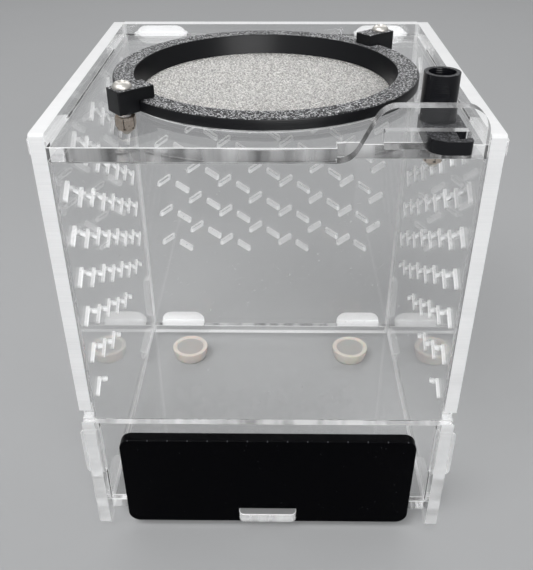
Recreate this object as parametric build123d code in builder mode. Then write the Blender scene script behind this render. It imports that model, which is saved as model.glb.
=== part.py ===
import os
from math import atan2, cos, hypot, radians, sin, tan

from build123d import *

# Overall sizes over the two side panels, in millimetres
width = 120.0
depth = 120.0
side_height = 145.0
sheet = 4.0
ground_gap = 2.0
floor_lift = 4.0
top_recess = 3.5
panel_corner = 1.0

# Clearances
tab_gap = 0.05
swing_gap = 0.2
turn_gap = 0.1
hinge_gap = 0.06
latch_gap = 0.06
screw_gap = 0.1
thread_gap = 0.05
sleeve_gap = 0.2
mesh_gap = 0.1

# Tabs that join the panels
tab_length = 20.0
tab_proud = 2.6
tab_round = 2.0
top_tab_inset = 14.5
floor_tab_inset = 18.0
back_tab_inset = 14.0
back_panel_tab_low = 21.5
back_panel_tab_high = 123.5

# Lower front panel and the black guard in front of it
lower_front_height = 36.7
lower_tab_middle = 31.3
guard_side_gap = 6.8
guard_height = 38.9
guard_lift = 1.5
guard_corner = 4.0

# Herringbone vent slots: a staircase of four columns, repeated across and down
slot_length = 6.8
slot_width = 1.7
slot_end_cut = 0.5
slot_lean = 35.0
slot_pair_pitch = 13.0
slot_lean_pitch = 7.7
slot_step_down = 3.12
slot_row_pitch = 14.1
slot_rows = 6
slot_columns = 15
slot_first_index = 2
slot_top_drop = 15.4

# Front door, its ears and the seats that they turn in
door_side_gap = 0.5
hinge_height = 49.0
ear_flat = 2.2
ear_reach = 3.8
seat_lip = 0.75
seat_mouth_top = 4.4
pull_rise = 14.6
pull_foot_inset = 34.3
pull_lean_width = 7.2
pull_round = 5.9
pull_corner = 6.5

# Swivel latch on the top panel
latch_side_inset = 11.5
latch_inset = 12.8
bar_left = 4.7
bar_right = 6.2
bar_back = 6.2
bar_thickness = 3.5
latch_reach = 5.0
bar_front_round = 5.0
bar_nose_round = 1.5
bar_back_round = 4.0
neck_right = 2.9
throat_back = 8.5
throat_radius = 16.0
tube_radius = 4.7
tube_bore = 3.5
tube_height = 15.4
tube_floor = 2.5
slot_left_play = 10.5
slot_over = 0.8
slot_under = 0.4
slot_round = 0.6

# Vent frame and its mesh
vent_shift = -1.0
vent_inner = 39.4
vent_rim_inner = 41.3
vent_outer = 48.0
vent_height = 3.2
vent_sleeve = 45.8
vent_chamfer = 0.6
mesh_thickness = 0.6
mesh_lift = 0.5
mesh_hold = 1.6
mesh_pitch = 6.4
mesh_wire = 1.0
mesh_rim = 0.8

# Clamps that hold the vent frame down
clamp_angle = 39.5
clamp_width = 6.8
clamp_back = 3.3
clamp_height = 6.8
clamp_overlap = 5.0
clamp_round = 0.5

# M3 hardware
screw_radius = 1.5
head_radius = 2.85
head_height = 1.65
head_crown = 1.5
head_shoulder_radius = 2.5
head_shoulder_height = 1.0
key_flats = 2.0
key_depth = 1.0
screw_tip = 0.4
clamp_screw_length = 16.0
latch_screw_length = 12.0
nut_flats = 5.5
nut_hex_height = 2.9
nut_height = 4.0
nut_collar_radius = 2.6

# Rubber feet
foot_radius = 8.0
foot_tip_radius = 6.6
foot_round = 0.8
foot_side_inset = 19.0
foot_inset = 20.0

# Levels, measured up from the table
side_middle = ground_gap + side_height / 2
side_top = ground_gap + side_height
floor_under = ground_gap + floor_lift
floor_top = floor_under + sheet
top_under = side_top - top_recess - sheet
top_face = top_under + sheet

# Places in plan: the middle of the overall length is y = 0
inner_half = width / 2 - sheet
front_y = -depth / 2 + (latch_reach - tab_proud) / 2
back_y = front_y + depth
middle_y = (front_y + back_y) / 2
back_inner_y = back_y - sheet
door_back_y = front_y + sheet
vent_x = vent_shift
vent_y = middle_y
top_tab_ys = (front_y + top_tab_inset, back_y - top_tab_inset)
floor_tab_ys = (front_y + floor_tab_inset, back_y - floor_tab_inset)
back_tab_x = inner_half - back_tab_inset
back_tab_xs = (-back_tab_x, back_tab_x)
tab_span = width + 2 * tab_proud

# Seat of the door's ears
hinge_y = front_y + sheet / 2
hinge_z = ground_gap + hinge_height
ear_radius = sheet / 2
seat_radius = ear_radius + hinge_gap
door_bottom = hinge_z - ear_flat / 2
door_top = top_under - swing_gap
pull_foot = inner_half - pull_foot_inset
pull_shoulder = pull_foot + pull_lean_width

# Swivel axis of the latch
latch_x = inner_half - latch_side_inset
latch_y = front_y + latch_inset
latch_under = top_face + turn_gap
latch_floor_top = latch_under + tube_floor

# Clamp screws, on the line from the vent's middle
clamp_distance = vent_outer + clamp_back
clamp_spots = []
for turn in (180.0 + clamp_angle, clamp_angle):
    spot = (
        vent_x + clamp_distance * cos(radians(turn)),
        vent_y + clamp_distance * sin(radians(turn)),
    )
    clamp_spots.append(spot)
screw_spots = clamp_spots + [(latch_x, latch_y)]

os.makedirs("parts", exist_ok=True)


def vent_places(middle, lean_index):
    """Middles of the slots that lean one way, from the first column to the last"""
    half = slot_columns / 2 - 0.5 + slot_first_index
    middle_shift = slot_pair_pitch * half / 2
    places = []
    for index in range(slot_first_index, slot_first_index + slot_columns):
        if index % 2 != lean_index:
            continue
        across = slot_pair_pitch * (index // 2) + slot_lean_pitch * lean_index
        for row in range(slot_rows):
            down = slot_step_down * (index % 4) + slot_row_pitch * row
            places.append((middle + across - middle_shift, side_top - slot_top_drop - down))
    return places


def cut_vent_slots(middle):
    """Herringbone of slots with cut corners, taken out of the current sketch"""
    end = slot_length / 2
    side = slot_width / 2
    outline = [
        (end - slot_end_cut, side),
        (-end + slot_end_cut, side),
        (-end, side - slot_end_cut),
        (-end, -side + slot_end_cut),
        (-end + slot_end_cut, -side),
        (end - slot_end_cut, -side),
        (end, -side + slot_end_cut),
        (end, side - slot_end_cut),
    ]
    for lean_index, lean in enumerate((slot_lean, -slot_lean)):
        with Locations(*vent_places(middle, lean_index)):
            Polygon(*outline, rotation=lean, mode=Mode.SUBTRACT)


# Side panels: tab slots, rear notches, vent slots and the open seat of the door's ear
for side_name, side_x in (("left_side_panel", -width / 2), ("right_side_panel", inner_half)):
    with BuildPart() as side_panel:
        with BuildSketch(Plane.YZ.offset(side_x)) as side_profile:
            with Locations((middle_y, side_middle)):
                RectangleRounded(depth, side_height, panel_corner)
            top_slots = [(y, top_under + sheet / 2) for y in top_tab_ys]
            floor_slots = [(y, floor_under + sheet / 2) for y in floor_tab_ys]
            with Locations(*top_slots, *floor_slots):
                Rectangle(tab_length + 2 * tab_gap, sheet + 2 * tab_gap, mode=Mode.SUBTRACT)
            with Locations((front_y + 1.5 * sheet, ground_gap + lower_tab_middle)):
                Rectangle(sheet + 2 * tab_gap, tab_length + 2 * tab_gap, mode=Mode.SUBTRACT)
            rear_notches = [
                (back_y, ground_gap + back_panel_tab_low),
                (back_y, ground_gap + back_panel_tab_high),
            ]
            with Locations(*rear_notches):
                Rectangle(2 * (sheet + tab_gap), tab_length + 2 * tab_gap, mode=Mode.SUBTRACT)
            cut_vent_slots(middle_y)
            with Locations((hinge_y, hinge_z)):
                Circle(seat_radius, mode=Mode.SUBTRACT)
            mouth_low = hinge_z - seat_lip
            with Locations((hinge_y + seat_radius, mouth_low)):
                Rectangle(
                    2 * sheet,
                    seat_mouth_top + seat_lip,
                    align=(Align.MAX, Align.MIN),
                    mode=Mode.SUBTRACT,
                )
        extrude(amount=sheet)
    side_panel.part.label = side_name
    export_step(side_panel.part, f"parts/{side_name}.step")

# Back panel: full height between the sides, slotted for the top and floor tabs
with BuildPart() as back_panel:
    with BuildSketch(Plane.XZ.offset(-back_y)) as back_profile:
        with Locations((0, side_middle)):
            Rectangle(2 * inner_half, side_height)
        back_tabs = [
            (0, ground_gap + back_panel_tab_low),
            (0, ground_gap + back_panel_tab_high),
        ]
        with Locations(*back_tabs):
            RectangleRounded(tab_span, tab_length, tab_round)
        top_and_floor = [(x, z + sheet / 2) for x in back_tab_xs for z in (top_under, floor_under)]
        with Locations(*top_and_floor):
            Rectangle(tab_length + 2 * tab_gap, sheet + 2 * tab_gap, mode=Mode.SUBTRACT)
        cut_vent_slots(0)
    extrude(amount=sheet)
back_panel.part.label = "back_panel"
export_step(back_panel.part, "parts/back_panel.step")

# Top panel: vent hole, room for the door's pull at the front right, screw holes
pull_turn = atan2(pull_rise, pull_lean_width)
notch_left = pull_foot - pull_round * tan(pull_turn / 2) - swing_gap
with BuildPart() as top_panel:
    with BuildSketch(Plane.XY.offset(top_under)) as top_profile:
        with Locations((0, front_y)):
            Rectangle(2 * inner_half, depth - sheet, align=(Align.CENTER, Align.MIN))
        with Locations(*[(0, y) for y in top_tab_ys]):
            RectangleRounded(tab_span, tab_length, tab_round)
        with Locations(*[(x, back_inner_y) for x in back_tab_xs]):
            RectangleRounded(tab_length, 2 * (sheet + tab_proud), tab_round)
        with Locations((inner_half, door_back_y + swing_gap)):
            Rectangle(
                inner_half - notch_left,
                2 * sheet,
                align=(Align.MAX, Align.MAX),
                mode=Mode.SUBTRACT,
            )
        with Locations((vent_x, vent_y)):
            Circle(vent_sleeve + sleeve_gap, mode=Mode.SUBTRACT)
        with Locations(*screw_spots):
            Circle(screw_radius + screw_gap, mode=Mode.SUBTRACT)
    extrude(amount=sheet)
top_panel.part.label = "top_panel"
export_step(top_panel.part, "parts/top_panel.step")

# Floor panel: its front tab passes through the guard
with BuildPart() as floor_panel:
    with BuildSketch(Plane.XY.offset(floor_under)) as floor_profile:
        with Locations((0, door_back_y)):
            Rectangle(2 * inner_half, depth - 2 * sheet, align=(Align.CENTER, Align.MIN))
        with Locations(*[(0, y) for y in floor_tab_ys]):
            RectangleRounded(tab_span, tab_length, tab_round)
        with Locations(*[(x, back_inner_y) for x in back_tab_xs]):
            RectangleRounded(tab_length, 2 * (sheet + tab_proud), tab_round)
        with Locations((0, door_back_y)):
            RectangleRounded(tab_length, 2 * (sheet + tab_proud), tab_round)
    extrude(amount=sheet)
floor_panel.part.label = "floor_panel"
export_step(floor_panel.part, "parts/floor_panel.step")

# Lower front panel: stands on the floor below the door
with BuildPart() as lower_front_panel:
    with BuildSketch(Plane.XZ.offset(-(door_back_y + sheet))) as lower_profile:
        with Locations((0, floor_top)):
            Rectangle(2 * inner_half, lower_front_height, align=(Align.CENTER, Align.MIN))
        with Locations((0, ground_gap + lower_tab_middle)):
            RectangleRounded(tab_span, tab_length, tab_round)
    extrude(amount=sheet)
lower_front_panel.part.label = "lower_front_panel"
export_step(lower_front_panel.part, "parts/lower_front_panel.step")

# Front guard: black plate on the lower front panel, slotted for the floor's tab
with BuildPart() as front_guard:
    with BuildSketch(Plane.XZ.offset(-door_back_y)) as guard_profile:
        with Locations((0, ground_gap + guard_lift + guard_height / 2)):
            RectangleRounded(2 * (inner_half - guard_side_gap), guard_height, guard_corner)
        with Locations((0, floor_under + sheet / 2)):
            Rectangle(tab_length + 2 * tab_gap, sheet + 2 * tab_gap, mode=Mode.SUBTRACT)
    extrude(amount=sheet)
front_guard.part.label = "front_guard"
export_step(front_guard.part, "parts/front_guard.step")

# Front door: flat top under the top panel, pull at the right with the latch's slot
door_half = inner_half - door_side_gap
pull_top = door_top + pull_rise
door_slot_low = latch_under - slot_under
door_slot_height = bar_thickness + slot_under + slot_over
door_slot_left = latch_x - bar_left - slot_left_play
door_slot_right = latch_x + bar_right + swing_gap
with BuildPart() as front_door:
    with BuildSketch(Plane.XZ.offset(-door_back_y)) as door_profile:
        with BuildLine() as door_outline:
            Polyline(
                (-door_half, door_bottom),
                (door_half, door_bottom),
                (door_half, pull_top),
                (pull_shoulder, pull_top),
                (pull_foot, door_top),
                (-door_half, door_top),
                close=True,
            )
        make_face()
        pull_steps = [(pull_shoulder, pull_top), (pull_foot, door_top)]
        for x, z in pull_steps:
            step_corner = door_profile.vertices().sort_by_distance((x, z, 0))[:1]
            fillet(step_corner, pull_round)
        top_corner = door_profile.vertices().sort_by_distance((door_half, pull_top, 0))[:1]
        fillet(top_corner, pull_corner)
        with Locations((door_slot_left, door_slot_low)):
            RectangleRounded(
                door_slot_right - door_slot_left,
                door_slot_height,
                slot_round,
                align=Align.MIN,
                mode=Mode.SUBTRACT,
            )
    extrude(amount=sheet)
    # Ears: pegs turned down from the sheet's thickness, flat above and below
    with BuildSketch(Plane.YZ.offset(-door_half - ear_reach)) as ear_profile:
        with Locations((hinge_y, hinge_z)):
            Circle(ear_radius)
            Rectangle(2 * ear_radius, ear_flat, mode=Mode.INTERSECT)
    extrude(amount=ear_reach)
    with BuildSketch(Plane.YZ.offset(door_half)) as far_ear_profile:
        add(ear_profile.sketch_local)
    extrude(amount=ear_reach)
front_door.part.label = "front_door"
export_step(front_door.part, "parts/front_door.step")

# Vent frame: printed ring whose sleeve drops through the top panel's hole
mesh_low = top_under + mesh_lift
vent_top = top_face + vent_height
vent_axis = Axis((vent_x, vent_y, 0), (0, 0, 1))
vent_plane = Plane(origin=(vent_x, vent_y, 0), x_dir=(1, 0, 0), z_dir=(0, -1, 0))
with BuildPart() as vent_frame:
    with BuildSketch(vent_plane) as vent_section:
        with BuildLine() as vent_outline:
            Polyline(
                (vent_inner, top_under),
                (vent_sleeve, top_under),
                (vent_sleeve, top_face),
                (vent_outer, top_face),
                (vent_outer, vent_top - vent_chamfer),
                (vent_outer - vent_chamfer, vent_top),
                (vent_rim_inner, vent_top),
                close=True,
            )
        make_face()
        with Locations((vent_inner, mesh_low)):
            Rectangle(mesh_hold, mesh_thickness, align=Align.MIN, mode=Mode.SUBTRACT)
    revolve(axis=vent_axis)
vent_frame.part.label = "vent_frame"
export_step(vent_frame.part, "parts/vent_frame.step")

# Vent mesh: disc of crossed wires, its rim held in the frame's groove
mesh_radius = vent_inner + mesh_hold - mesh_gap
mesh_open = vent_inner - mesh_rim
mesh_count = int(2 * mesh_open / mesh_pitch)
mesh_hole = mesh_pitch - mesh_wire
mesh_places = []
for spot in GridLocations(mesh_pitch, mesh_pitch, mesh_count, mesh_count).local_locations:
    far_x = abs(spot.position.X) + mesh_hole / 2
    far_y = abs(spot.position.Y) + mesh_hole / 2
    if hypot(far_x, far_y) < mesh_open:
        mesh_places.append((vent_x + spot.position.X, vent_y + spot.position.Y))
with BuildPart() as vent_mesh:
    with BuildSketch(Plane.XY.offset(mesh_low)) as mesh_sheet:
        with Locations((vent_x, vent_y)):
            Circle(mesh_radius)
        with Locations(*mesh_places):
            Rectangle(mesh_hole, mesh_hole, mode=Mode.SUBTRACT)
    extrude(amount=mesh_thickness)
vent_mesh.part.label = "vent_mesh"
export_step(vent_mesh.part, "parts/vent_mesh.step")

# Clamps: printed hooks, screwed down beside the vent frame with a finger over its rim
for clamp_name, spot in zip(("front_vent_clamp", "rear_vent_clamp"), clamp_spots):
    inward = Vector(vent_x - spot[0], vent_y - spot[1], 0).normalized()
    clamp_plane = Plane(
        origin=(spot[0], spot[1], top_face),
        x_dir=inward,
        z_dir=inward.cross(Vector(0, 0, 1)),
    )
    finger_tip = clamp_back + clamp_overlap
    with BuildPart() as clamp:
        with BuildSketch(clamp_plane) as clamp_section:
            with BuildLine() as clamp_outline:
                Polyline(
                    (-clamp_back, 0),
                    (clamp_back, 0),
                    (clamp_back, vent_height),
                    (finger_tip, vent_height),
                    (finger_tip, clamp_height),
                    (-clamp_back, clamp_height),
                    close=True,
                )
            make_face()
        extrude(amount=clamp_width / 2, both=True)
        upright_edges = clamp.edges().filter_by(Axis.Z)
        fillet(upright_edges.sort_by(Axis((0, 0, 0), inward))[:2], clamp_round)
        with Locations((spot[0], spot[1], top_face + clamp_height / 2)):
            Cylinder(screw_radius + screw_gap, 2 * clamp_height, mode=Mode.SUBTRACT)
    clamp.part.label = clamp_name
    export_step(clamp.part, f"parts/{clamp_name}.step")


def button_screw(x, y, under_head, length):
    """Round-headed screw with a hexagonal key socket, added to the current part"""
    crown = under_head + head_height
    crown_plane = Plane(origin=(x, y, 0), x_dir=(1, 0, 0), z_dir=(0, -1, 0))
    with BuildSketch(crown_plane) as screw_section:
        with BuildLine() as screw_outline:
            shank = Polyline(
                (0, crown),
                (0, under_head - length),
                (screw_radius - screw_tip, under_head - length),
                (screw_radius, under_head - length + screw_tip),
                (screw_radius, under_head),
                (head_radius, under_head),
            )
            ThreePointArc(
                shank @ 1,
                (head_shoulder_radius, under_head + head_shoulder_height),
                (head_crown, crown),
            )
            Line((head_crown, crown), shank @ 0)
        make_face()
    screw = revolve(screw_section.sketch, Axis((x, y, 0), (0, 0, 1)), mode=Mode.PRIVATE)
    socket_plane = Plane((x, y, crown - key_depth))
    with BuildSketch(socket_plane) as socket_section:
        RegularPolygon(key_flats / 2, 6, major_radius=False)
    socket = extrude(socket_section.sketch, amount=2 * key_depth, mode=Mode.PRIVATE)
    return screw - socket


# Clamp screws: two alike, down through the clamps and the top panel
with BuildPart() as clamp_screws:
    for x, y in clamp_spots:
        add(button_screw(x, y, top_face + clamp_height, clamp_screw_length))
clamp_screws.part.label = "clamp_screws"
export_step(clamp_screws.part, "parts/clamp_screws.step")

# Latch screw: the latch turns on its plain shank, under its head
with BuildPart() as latch_screw:
    add(button_screw(latch_x, latch_y, latch_floor_top + turn_gap, latch_screw_length))
latch_screw.part.label = "latch_screw"
export_step(latch_screw.part, "parts/latch_screw.step")

# Lock nuts: hexagons with a round collar, under the top panel
with BuildPart() as lock_nuts:
    with BuildSketch(Plane.XY.offset(top_under)) as nut_hex:
        with Locations(*screw_spots):
            RegularPolygon(nut_flats / 2, 6, major_radius=False)
    extrude(amount=-nut_hex_height)
    with BuildSketch(Plane.XY.offset(top_under - nut_hex_height)) as nut_collar:
        with Locations(*screw_spots):
            Circle(nut_collar_radius)
    extrude(amount=-(nut_height - nut_hex_height))
    with BuildSketch(Plane.XY.offset(top_under)) as nut_bores:
        with Locations(*screw_spots):
            Circle(screw_radius + thread_gap)
    extrude(amount=-nut_height, mode=Mode.SUBTRACT)
lock_nuts.part.label = "lock_nuts"
export_step(lock_nuts.part, "parts/lock_nuts.step")

# Door latch: hooked bar that swivels on the top panel, turned by its hollow post
latch_plane = Plane((latch_x, latch_y, latch_under))
bar_front = latch_inset + latch_reach
with BuildPart() as door_latch:
    with BuildSketch(latch_plane) as bar_profile:
        with Locations((-bar_left, -bar_front)):
            Rectangle(bar_left + bar_right, bar_front + bar_back, align=Align.MIN)
        front_corners = bar_profile.vertices().sort_by(Axis.Y)[:2].sort_by(Axis.X)
        back_corners = bar_profile.vertices().sort_by(Axis.Y)[-2:]
        fillet(front_corners[:1], bar_front_round)
        fillet(front_corners[1:], bar_nose_round)
        fillet(back_corners, bar_back_round)
    extrude(amount=bar_thickness)
    with BuildSketch(latch_plane) as throat:
        with Locations((neck_right, -throat_back)):
            Rectangle(bar_right, bar_front, align=(Align.MIN, Align.MAX))
        Circle(throat_radius, mode=Mode.INTERSECT)
    extrude(amount=bar_thickness, mode=Mode.SUBTRACT)
    with BuildSketch(latch_plane) as post_profile:
        Circle(tube_radius)
    extrude(amount=tube_height)
    with BuildSketch(Plane((latch_x, latch_y, latch_floor_top))) as bore_profile:
        Circle(tube_bore)
    extrude(amount=tube_height, mode=Mode.SUBTRACT)
    with BuildSketch(latch_plane) as pivot_hole:
        Circle(screw_radius + latch_gap)
    extrude(amount=tube_floor, mode=Mode.SUBTRACT)
door_latch.part.label = "door_latch"
export_step(door_latch.part, "parts/door_latch.step")

# Feet: tapered rubber bumpers stuck under the floor
foot_x = inner_half - foot_side_inset
for foot_name, x, y in (
    ("foot_front_left", -foot_x, front_y + foot_inset),
    ("foot_front_right", foot_x, front_y + foot_inset),
    ("foot_rear_left", -foot_x, back_y - foot_inset),
    ("foot_rear_right", foot_x, back_y - foot_inset),
):
    with BuildPart() as foot:
        with BuildSketch(Plane((x, y, 0))) as foot_tip:
            Circle(foot_tip_radius)
        with BuildSketch(Plane((x, y, floor_under))) as foot_base:
            Circle(foot_radius)
        loft()
        fillet(foot.edges().sort_by(Axis.Z)[:1], foot_round)
    foot.part.label = foot_name
    export_step(foot.part, f"parts/{foot_name}.step")
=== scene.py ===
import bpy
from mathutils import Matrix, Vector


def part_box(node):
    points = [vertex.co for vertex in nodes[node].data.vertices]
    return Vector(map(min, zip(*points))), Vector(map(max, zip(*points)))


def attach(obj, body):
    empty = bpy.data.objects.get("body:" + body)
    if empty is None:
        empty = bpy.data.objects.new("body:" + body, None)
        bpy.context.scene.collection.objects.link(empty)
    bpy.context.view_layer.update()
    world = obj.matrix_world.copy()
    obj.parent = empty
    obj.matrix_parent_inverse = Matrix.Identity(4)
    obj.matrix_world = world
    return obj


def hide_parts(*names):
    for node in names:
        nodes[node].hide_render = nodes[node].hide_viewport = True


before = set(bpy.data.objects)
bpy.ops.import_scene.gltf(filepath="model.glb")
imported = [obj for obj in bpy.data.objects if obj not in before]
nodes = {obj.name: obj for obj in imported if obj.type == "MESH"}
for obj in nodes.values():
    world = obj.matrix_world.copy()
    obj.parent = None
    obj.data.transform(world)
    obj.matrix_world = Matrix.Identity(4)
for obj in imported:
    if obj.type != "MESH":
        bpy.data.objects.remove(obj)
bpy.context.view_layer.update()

import math

import bmesh
import bpy
from mathutils import Matrix, Vector

MM = 0.001
scene = bpy.context.scene
scene.view_settings.view_transform = "Standard"

# Camera: stands about 17 cm in front of the box and looks down on it by about
# 34 degrees, as the photograph was taken. The picture is 533 by 570 pixels,
# and its principal point lies a little below the middle.
camera_place = (0.0023, -0.2361, 0.2137)
camera_yaw = -0.806
camera_pitch = -33.856
camera_roll = -0.174
focal_pixels = 740.4
picture_height = 570
sensor = 36.0
camera_shift = 0.042

camera_data = bpy.data.cameras.new("camera")
camera_data.sensor_width = sensor
camera_data.lens = focal_pixels * sensor / picture_height
camera_data.shift_y = camera_shift
camera_data.clip_start = 0.01
camera = bpy.data.objects.new("camera", camera_data)
scene.collection.objects.link(camera)
camera.matrix_world = (
    Matrix.Translation(camera_place)
    @ Matrix.Rotation(math.radians(-camera_yaw), 4, "Z")
    @ Matrix.Rotation(math.radians(90 + camera_pitch), 4, "X")
    @ Matrix.Rotation(math.radians(camera_roll), 4, "Z")
)
scene.camera = camera


# Studio: a pale grey paper sweep under the box, a soft sky of the same colour,
# and three soft lamps: the key above at the left, one in front that lights
# the cut edges, and a long weak one behind.
def linear(code):
    """Linear red, green, blue and alpha of an sRGB colour written #RRGGBB"""
    parts = [int(code[place : place + 2], 16) / 255 for place in (1, 3, 5)]
    return [part / 12.92 if part <= 0.04045 else ((part + 0.055) / 1.055) ** 2.4 for part in parts] + [1]


def add_node(tree, kind, inputs=None, **settings):
    """Adds a shader node, sets its options, and gives its inputs their values or links"""
    made = tree.nodes.new("ShaderNode" + kind)
    for name, value in settings.items():
        setattr(made, name, value)
    for place, value in (inputs or {}).items():
        if isinstance(value, bpy.types.NodeSocket):
            tree.links.new(value, made.inputs[place])
        else:
            made.inputs[place].default_value = value
    return made


def new_material(name):
    """An empty material and its node tree"""
    made = bpy.data.materials.new(name)
    made.use_nodes = True
    made.node_tree.nodes.clear()
    return made, made.node_tree


def begin(primitive, name, **sizes):
    """Adds a primitive on its own, moves its origin to the world's, and opens it in edit mode"""
    bpy.ops.object.select_all(action="DESELECT")
    primitive(**sizes)
    piece = bpy.context.object
    piece.name = piece.data.name = name
    bpy.ops.object.transform_apply(location=True, rotation=True, scale=True)
    bpy.ops.object.mode_set(mode="EDIT")
    bpy.ops.mesh.select_all(action="SELECT")
    return piece


def pick(piece, kind, test):
    """In edit mode, selects the vertices, edges or faces whose middle passes the test"""
    bpy.ops.mesh.select_mode(type=kind)
    bpy.ops.mesh.select_all(action="DESELECT")
    mesh = bmesh.from_edit_mesh(piece.data)
    for part in {"VERT": mesh.verts, "EDGE": mesh.edges, "FACE": mesh.faces}[kind]:
        corners = [part] if kind == "VERT" else part.verts
        middle = sum((corner.co for corner in corners), Vector()) / len(corners)
        part.select_set(bool(test(middle, part)))
    mesh.select_flush_mode()
    bmesh.update_edit_mesh(piece.data)


def close_up(piece, material, angle=32, flat_above=1e6):
    """Merges doubles, turns the faces outwards, leaves edit mode and gives the finish

    Edges blunter than the angle look round, but faces of more than flat_above mm2 stay flat.
    """
    bpy.ops.mesh.select_all(action="SELECT")
    bpy.ops.mesh.remove_doubles(threshold=1e-6)
    bpy.ops.mesh.normals_make_consistent(inside=False)
    bpy.ops.object.mode_set(mode="OBJECT")
    bpy.ops.object.shade_smooth_by_angle(angle=math.radians(angle))
    for face in piece.data.polygons:
        if face.area > flat_above * MM * MM:
            face.use_smooth = False
    piece.data.materials.clear()
    piece.data.materials.append(material)


sweep_radius = 1.6
sweep_steps = [(1.9, 0.02), (2.15, 0.12), (2.3, 0.34), (2.35, 0.7)]
paper_colour = "#B7B8B9"
paper_patch = "#B4B5B6"
sky_colour = "#B7B8B9"
sky_strength = 0.42
mottle_per_metre = 9.0

# matt paper: pale grey with a faint mottle, so that it takes soft shadows and has no shine
paper, tree = new_material("paper_sweep")
coords = add_node(tree, "TexCoord")
grain = {"Vector": coords.outputs["Object"], "Scale": mottle_per_metre, "Detail": 3.0}
grain = add_node(tree, "TexNoise", grain)
tone = add_node(
    tree, "Mix", {0: grain.outputs[0], 6: linear(paper_colour), 7: linear(paper_patch)}, data_type="RGBA"
)
shader = add_node(tree, "BsdfDiffuse", {"Color": tone.outputs[2], "Roughness": 0.6})
add_node(tree, "OutputMaterial", {"Surface": shader.outputs[0]})

sweep = begin(
    bpy.ops.mesh.primitive_circle_add, "sweep", vertices=96, radius=sweep_radius, fill_type="NGON"
)
pick(sweep, "EDGE", lambda middle, edge: True)
last = (sweep_radius, 0.0)
for radius, height in sweep_steps:
    bpy.ops.mesh.extrude_edges_move(TRANSFORM_OT_translate={"value": (0, 0, height - last[1])})
    ratio = radius / last[0]
    bpy.ops.transform.resize(value=(ratio, ratio, 1), center_override=(0, 0, height))
    last = (radius, height)
close_up(sweep, paper, angle=60)

world = bpy.data.worlds.new("sky")
scene.world = world
world.use_nodes = True
tree = world.node_tree
tree.nodes.clear()
path = add_node(tree, "LightPath")
through = path.outputs["Is Transmission Ray"]
seen = add_node(
    tree, "Math", {0: path.outputs["Is Camera Ray"], 1: path.outputs["Is Glossy Ray"]}, operation="MAXIMUM"
)
seen = add_node(tree, "Math", {0: seen.outputs[0], 1: through}, operation="MAXIMUM")
direct = add_node(tree, "Math", {0: path.outputs["Diffuse Depth"], 1: 0.5}, operation="LESS_THAN")
seen = add_node(tree, "Math", {0: seen.outputs[0], 1: direct.outputs[0]}, operation="MULTIPLY")
# the clear sheets let shadow rays through, so light that bounces through them isn't counted again
strength = add_node(tree, "MapRange", {0: through, 1: 0.0, 2: 1.0, 3: sky_strength, 4: 0.0})
light = add_node(tree, "Background", {"Color": linear("#F8F8F9"), "Strength": strength.outputs[0]})
shown = add_node(tree, "Background", {"Color": linear(sky_colour), "Strength": 1.0})
both = add_node(tree, "MixShader", {0: seen.outputs[0], 1: light.outputs[0], 2: shown.outputs[0]})
add_node(tree, "OutputWorld", {"Surface": both.outputs[0]})

lamps = [
    ("key", (-0.35, -0.45, 0.9), (0.5, 0.5), 4.6),
    ("front", (0.3, -0.95, 0.5), (0.8, 0.35), 3.9),
    ("rear", (0.05, 0.85, 0.75), (1.1, 0.25), 2.4),
]
for name, place, size, power in lamps:
    lamp_data = bpy.data.lights.new(name, "AREA")
    lamp_data.shape = "RECTANGLE"
    lamp_data.size, lamp_data.size_y = size
    lamp_data.energy = power
    lamp = bpy.data.objects.new(name, lamp_data)
    scene.collection.objects.link(lamp)
    lamp.visible_transmission = False
    lamp.location = place
    aim = Vector((0, 0, 0.08)) - Vector(place)
    lamp.rotation_euler = aim.to_track_quat("-Z", "Y").to_euler()


# Clear panels: sides, back, top, floor and lower front, cut by laser from
# 4 mm cast acrylic and glued by their tabs. The faces keep their polish. The
# cut edges are frosted, thickly in the slots, and every arris is a white line.
laser_line = 0.4 * MM
line_across = 30.0
frost_streak = 6.25 * MM
streak_across = 12.0
glossy_rise = 5 * MM
dust_per_mm = 1.5
smear_per_mm = 0.06


def inside_area(tree, face, place, area):
    """Keeps of the faces what has x within area[0] of the middle, and y from area[1] to area[2]"""
    aside = add_node(tree, "Math", {0: place.outputs["X"]}, operation="ABSOLUTE")
    for test, distance, limit in (
        ("LESS_THAN", aside.outputs[0], area[0]),
        ("GREATER_THAN", place.outputs["Y"], area[1]),
        ("LESS_THAN", place.outputs["Y"], area[2]),
    ):
        free = add_node(tree, "Math", {0: distance, 1: limit}, operation=test)
        face = add_node(tree, "Math", {0: face.outputs[0], 1: free.outputs[0]}, operation="MULTIPLY")
    return face


def outside_glue(tree, face, coords, place, across, glue):
    """Keeps of the faces what lies outside the rounded patch that glue has whitened at each tab"""
    apart = coords.outputs["Object"]
    for change, amount in (
        ("MULTIPLY", [1.0 - part for part in across]),
        ("SUBTRACT", glue["middle"]),
        ("ABSOLUTE", None),
        ("SUBTRACT", glue["apart"]),
        ("ABSOLUTE", None),
        ("SUBTRACT", glue["straight"]),
        ("MAXIMUM", (0.0, 0.0, 0.0)),
    ):
        inputs = {0: apart} if amount is None else {0: apart, 1: amount}
        apart = add_node(tree, "VectorMath", inputs, operation=change).outputs[0]
    reach = add_node(tree, "VectorMath", {0: apart}, operation="LENGTH")
    beyond = add_node(tree, "Math", {0: reach.outputs["Value"], 1: glue["round"]}, operation="GREATER_THAN")
    inner = add_node(tree, "Math", {0: place.outputs["Y"], 1: glue["inner"]}, operation="LESS_THAN")
    beyond = add_node(tree, "Math", {0: beyond.outputs[0], 1: inner.outputs[0]}, operation="MAXIMUM")
    return add_node(tree, "Math", {0: face.outputs[0], 1: beyond.outputs[0]}, operation="MULTIPLY")


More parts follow.
